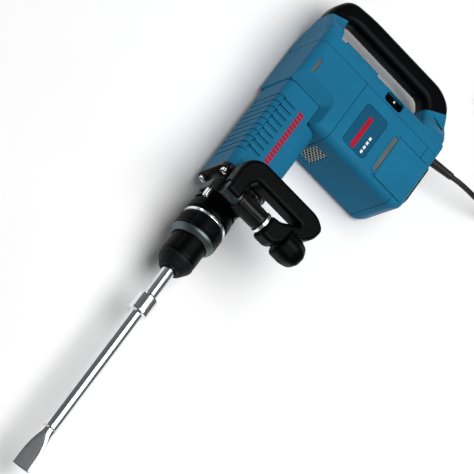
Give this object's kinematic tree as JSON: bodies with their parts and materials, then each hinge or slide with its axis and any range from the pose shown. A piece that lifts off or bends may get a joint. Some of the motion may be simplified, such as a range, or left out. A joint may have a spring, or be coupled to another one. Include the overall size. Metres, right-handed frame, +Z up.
{
  "type": "demolition hammer",
  "caption": "Electric demolition hammer in an L layout with a rear D handle, a swivelling side D handle, a tool holder and a flat chisel.",
  "frame": {"origin": "On the right-hand face that the tool lies on, straight below the point where the crank axis crosses the striking axis.", "axes": "+X along the striking axis towards the chisel, +Y from the striking axis towards the foot of the motor, +Z up out of the left side."},
  "size_m": [1.0745, 0.5471, 0.16],
  "materials": {
    "housing_blue": "glass-filled nylon moulding, satin, fine spark texture",
    "black_plastic": "satin black moulding with fine grain",
    "rubber": "black rubber",
    "bright_steel": "ground and forged tool steel",
    "light_alloy": "machined light alloy",
    "black_cast": "black-painted die casting",
    "dark_steel": "blackened steel",
    "copper": "laminated steel wound with enamelled copper wire",
    "brass": "stamped brass",
    "carbon": "pressed carbon",
    "lens": "clear moulded lens",
    "circuit_resin": "potted circuit board"
  },
  "bodies": {
    "root": {"gear_housing": "housing_blue", "motor_housing": "housing_blue", "bottom_cap": "housing_blue", "left_service_cover": "housing_blue", "right_service_cover": "housing_blue", "name_plate": "black_plastic", "bottom_bumper": "rubber", "rear_housing": "housing_blue", "rear_grip": "black_plastic", "indicator_lens": "lens", "barrel_housing": "housing_blue", "front_flange": "black_cast", "flange_screw_1": "bright_steel", "flange_screw_2": "bright_steel", "flange_screw_3": "bright_steel", "flange_screw_4": "bright_steel", "chuck_rear_collar": "black_plastic", "retaining_ring": "bright_steel", "cylinder_tube": "bright_steel", "damper_ring": "rubber", "crank_bearing": "bright_steel", "stator": "dark_steel", "upper_bearing": "bright_steel", "lower_bearing": "bright_steel", "brush_holder_a": "brass", "carbon_brush_a": "carbon", "brush_holder_b": "brass", "carbon_brush_b": "carbon", "switch_block": "black_plastic", "electronics_module": "circuit_resin", "cable_clamp": "black_plastic", "cable_boot": "rubber", "power_cord": "rubber", "cord_coil": "rubber", "coil_tie": "black_plastic", "mains_plug": "rubber", "cord_tail": "rubber"},
    "tool_turn": {"tool_holder": "bright_steel", "lock_roller_a": "bright_steel", "lock_roller_b": "bright_steel", "dust_cap": "rubber"},
    "vario_ring": {"vario_ring": "black_plastic"},
    "locking_sleeve": {"locking_sleeve": "black_plastic", "lock_spring": "bright_steel"},
    "chisel": {"flat_chisel": "bright_steel"},
    "impact_bolt": {"impact_bolt": "bright_steel"},
    "striker": {"striker": "bright_steel"},
    "piston": {"piston": "light_alloy", "piston_pin": "bright_steel", "connecting_rod": "light_alloy"},
    "armature": {"armature": "copper", "cooling_fan": "black_plastic"},
    "crank_gear": {"crank_gear": "bright_steel"},
    "aux_handle": {"handle_clamp": "black_cast", "aux_handle_grip": "black_plastic", "handle_shaft": "dark_steel", "shaft_ring": "bright_steel"},
    "clamp_knob": {"clamp_knob": "black_plastic"},
    "on_off_switch": {"on_off_switch": "black_plastic"},
    "speed_dial": {"speed_dial": "black_plastic"}
  },
  "joints": [
    {"name": "chisel_turn", "type": "hinge", "parent": "root", "child": "tool_turn", "pos_m": [0.34, 0, 0.06], "axis": [1, 0, 0], "continuous": true},
    {"name": "vario_ring_slide", "type": "slide", "parent": "tool_turn", "child": "vario_ring", "axis": [1, 0, 0], "range_m": [0, 0.004], "stiffness_N_per_m": 1500, "springref_m": -0.004},
    {"name": "locking_sleeve_slide", "type": "slide", "parent": "tool_turn", "child": "locking_sleeve", "axis": [-1, 0, 0], "range_m": [0, 0.01], "stiffness_N_per_m": 1500, "springref_m": -0.004},
    {"name": "chisel_play", "type": "slide", "parent": "tool_turn", "child": "chisel", "axis": [1, 0, 0], "range_m": [0, 0.026]},
    {"name": "impact_bolt_slide", "type": "slide", "parent": "root", "child": "impact_bolt", "axis": [1, 0, 0], "range_m": [0, 0.022]},
    {"name": "striker_slide", "type": "slide", "parent": "root", "child": "striker", "axis": [1, 0, 0], "range_m": [-0.016, 0.018]},
    {"name": "piston_slide", "type": "slide", "parent": "root", "child": "piston", "axis": [1, 0, 0], "range_m": [-0.04, 0]},
    {"name": "armature_spin", "type": "hinge", "parent": "root", "child": "armature", "pos_m": [0.0315, 0.1, 0.06], "axis": [0, 1, 0], "continuous": true},
    {"name": "crank_spin", "type": "hinge", "parent": "root", "child": "crank_gear", "pos_m": [0, 0.035, 0.06], "axis": [0, 1, 0], "continuous": true},
    {"name": "aux_handle_swivel", "type": "hinge", "parent": "root", "child": "aux_handle", "pos_m": [0.276, 0, 0.06], "axis": [1, 0, 0], "continuous": true},
    {"name": "clamp_knob_turn", "type": "hinge", "parent": "aux_handle", "child": "clamp_knob", "pos_m": [0.283, 0.11, 0.135], "axis": [0, 1, 0], "range_deg": [0, 540]},
    {"name": "switch_slide", "type": "slide", "parent": "root", "child": "on_off_switch", "axis": [0, 1, 0], "range_m": [0, 0.008]},
    {"name": "speed_dial_turn", "type": "hinge", "parent": "root", "child": "speed_dial", "pos_m": [-0.048, 0.11, 0.1045], "axis": [1, 0, 0], "range_deg": [-135, 135]}
  ],
  "couplings": [
    {"joint": "crank_spin", "follows": "armature_spin", "ratio": -0.125},
    {"joint": "impact_bolt_slide", "follows": "chisel_play", "ratio": 0.84}
  ]
}
